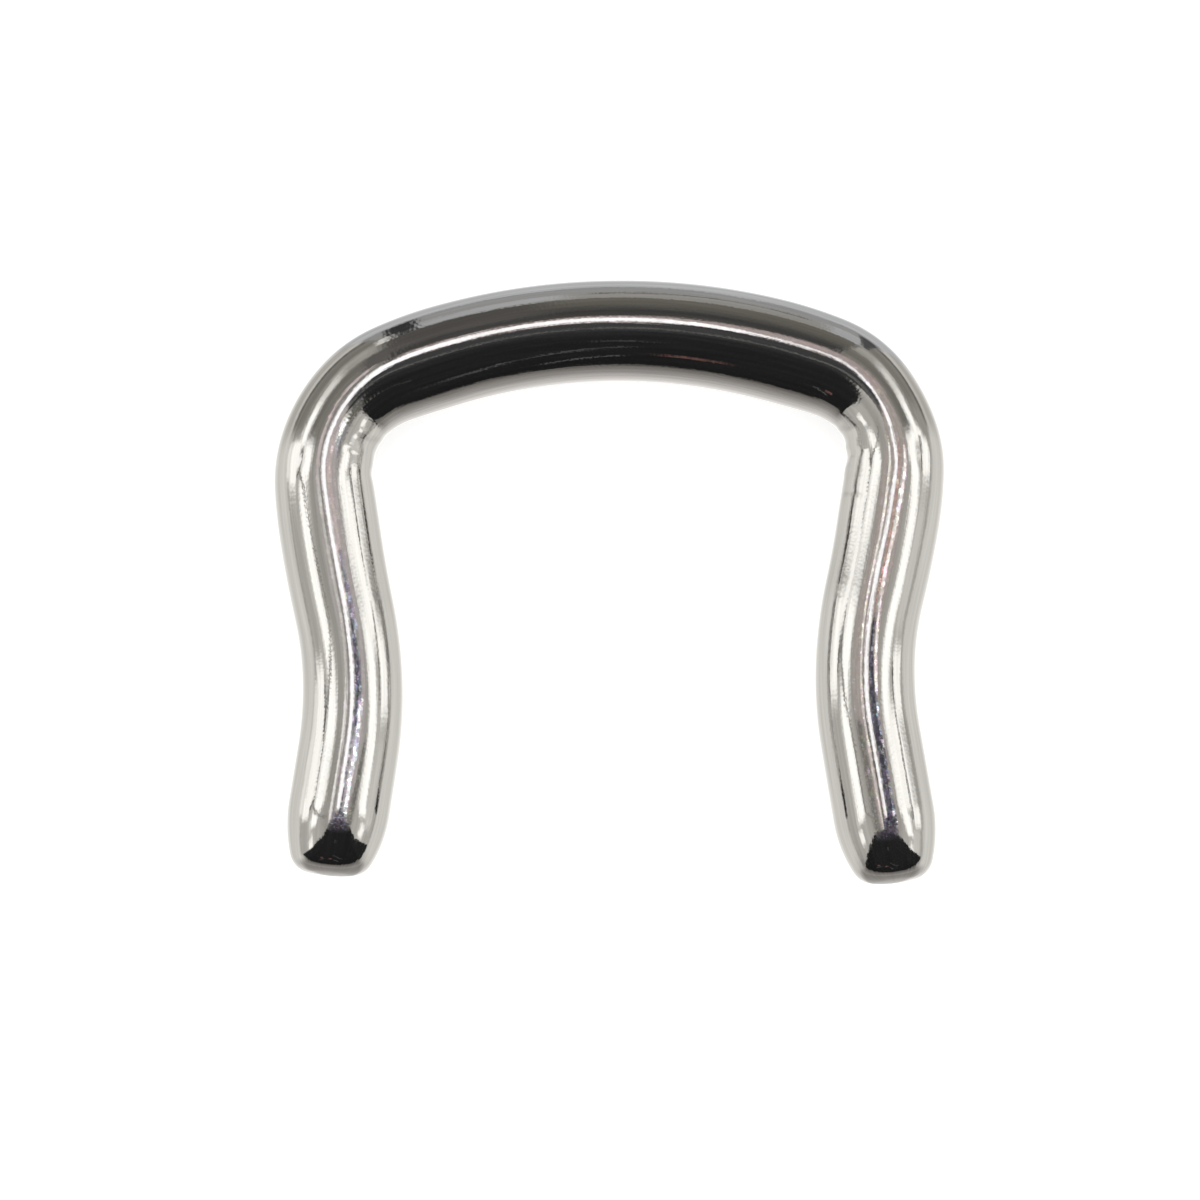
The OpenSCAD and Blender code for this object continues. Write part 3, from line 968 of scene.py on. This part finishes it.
# Height of a screen's foot, then bearings from the front in degrees, positive to the right, each
# with the height of the screen's top there, all in millimetres
LEFT_OUTER = (1.65, [(-54, 6.6), (-62, 5.0), (-66, 4.4), (-67.5, 3.8), (-69.5, 3.0), (-71.5, 2.4),
                     (-72, 1.8)])
LEFT_INNER = (1.5, [(54, 6.4), (60, 4.6), (64, 3.5), (68, 2.5), (70, 2.0), (71.5, 1.6)])
RIGHT_OUTER = (1.65, [(54, 9.0), (66, 6.6), (69, 5.9), (70, 4.2), (71, 3.4), (73, 2.6), (74.6, 2.0),
                      (75, 1.8)])


def around_end(x, y, radius, bearing, z):
    """Points at a radius from (x, y), in the directions given by bearings, at heights z."""
    turned = np.radians(bearing)
    return np.stack([x + radius * np.sin(turned), y - radius * np.cos(turned), z + 0 * turned], axis=-1)


def dark_screen(name, end_at, foot, tops):
    """An upright, curved screen around an end, with its top given at some bearings."""
    bearing, height = np.array(sorted(tops), dtype=float).T
    fine = np.linspace(bearing[0], bearing[-1], SCREEN_COLUMNS)
    low = around_end(*end_at, SCREEN_RADIUS, fine, foot)
    top = around_end(*end_at, SCREEN_RADIUS, fine, np.interp(fine, bearing, height))
    paint = np.ones((SCREEN_COLUMNS, 2, 4))
    paint[..., :3] = SCREEN_LIGHT
    painted_sheet(name, np.stack([low, top], axis=1), paint)


dark_screen("left_outer_screen", LEFT_END_AT, *LEFT_OUTER)
dark_screen("left_inner_screen", LEFT_END_AT, *LEFT_INNER)
dark_screen("right_outer_screen", RIGHT_END_AT, *RIGHT_OUTER)

# %% [markdown]
# The table right before the ends is a little darker, where the ends themselves keep the light off.
# For that, a sheet lies just over the floor as a fan around each tip. It fades into the room's
# table at its sides and its far edge.

# %% Shade before the ends
# The points below the two tips
LEFT_TIP_AT, RIGHT_TIP_AT = (-5.57, -5.9), (5.66, -6.05)
# The shade reaches from close by a tip to 4 mm before it, and 60 degrees to both sides
SHADE_FROM, SHADE_TO, SHADE_WIDE = 0.1, 4.0, 60
SHADE_HEIGHT = 0.05
# Level far from a tip, how much paler the sheet is at the tip, and how soon that is lost
SHADE_LEVEL, SHADE_RISE, SHADE_LENGTH = 120, 75, 0.9
# Degrees at the sides and millimetres at the far edge over which the shade fades out
SIDE_FADE, EDGE_FADE = 15, 0.6
SHADE_ROWS, SHADE_COLUMNS = 20, 25


def table_shade(name, tip_at):
    """The table before a tip: its level is SHADE_LEVEL + SHADE_RISE exp(-r / SHADE_LENGTH)."""
    radius = np.linspace(SHADE_FROM, SHADE_TO, SHADE_ROWS)
    bearing = np.linspace(-SHADE_WIDE, SHADE_WIDE, SHADE_COLUMNS)
    r, b = np.meshgrid(radius, bearing, indexing="ij")
    levels = SHADE_LEVEL + SHADE_RISE * np.exp(-radius / SHADE_LENGTH)
    paint = np.ones((SHADE_ROWS, SHADE_COLUMNS, 4))
    paint[..., :3] = [[light(level, WARM)] for level in levels]
    paint[..., 3] = (np.clip((SHADE_WIDE - np.abs(b)) / SIDE_FADE, 0, 1)
                     * np.clip((SHADE_TO - r) / EDGE_FADE, 0, 1))
    painted_sheet(name, around_end(*tip_at, r, b, SHADE_HEIGHT), paint)


table_shade("left_shade", LEFT_TIP_AT)
table_shade("right_shade", RIGHT_TIP_AT)

# %% [markdown]
# The floor is a sheet of white card that is larger than the view. It is dull, so that it has no
# highlights, and it glows a little, so that only a faint shade is left under the bar. The bar
# doesn't mirror it, because the painted room has a table already.

# %% Floor
# Half width in metres, how pale and how rough the card is, and how strongly it glows
FLOOR_HALF = 0.4
FLOOR_PALE, FLOOR_ROUGH, FLOOR_GLOW = 0.9, 0.9, 0.5


def floor_card():
    """A level, pale square under the bar."""
    material, tree = new_material("pale_floor")
    set_inputs(tree.nodes["Principled BSDF"],
               {"Base Color": (FLOOR_PALE, FLOOR_PALE, FLOOR_PALE, 1), "Roughness": FLOOR_ROUGH,
                "Specular IOR Level": 0.0, "Emission Color": (1, 1, 1, 1),
                "Emission Strength": FLOOR_GLOW})
    mesh = bpy.data.meshes.new("floor")
    corners = [(x * FLOOR_HALF, y * FLOOR_HALF, 0) for x, y in ((-1, -1), (1, -1), (1, 1), (-1, 1))]
    mesh.from_pydata(corners, [], [(0, 1, 2, 3)])
    mesh.materials.append(material)
    floor = in_scene("floor", mesh)
    floor.visible_glossy = False


floor_card()
print(f"The floor is {2 * FLOOR_HALF:.1f} m wide")

# %% [markdown]
# The levels of the room are worked out for the plain view transform, which changes no colour, so
# that one is set.

# %% View transform
bpy.context.scene.view_settings.view_transform = "Standard"
print(f"The view transform is {bpy.context.scene.view_settings.view_transform}")
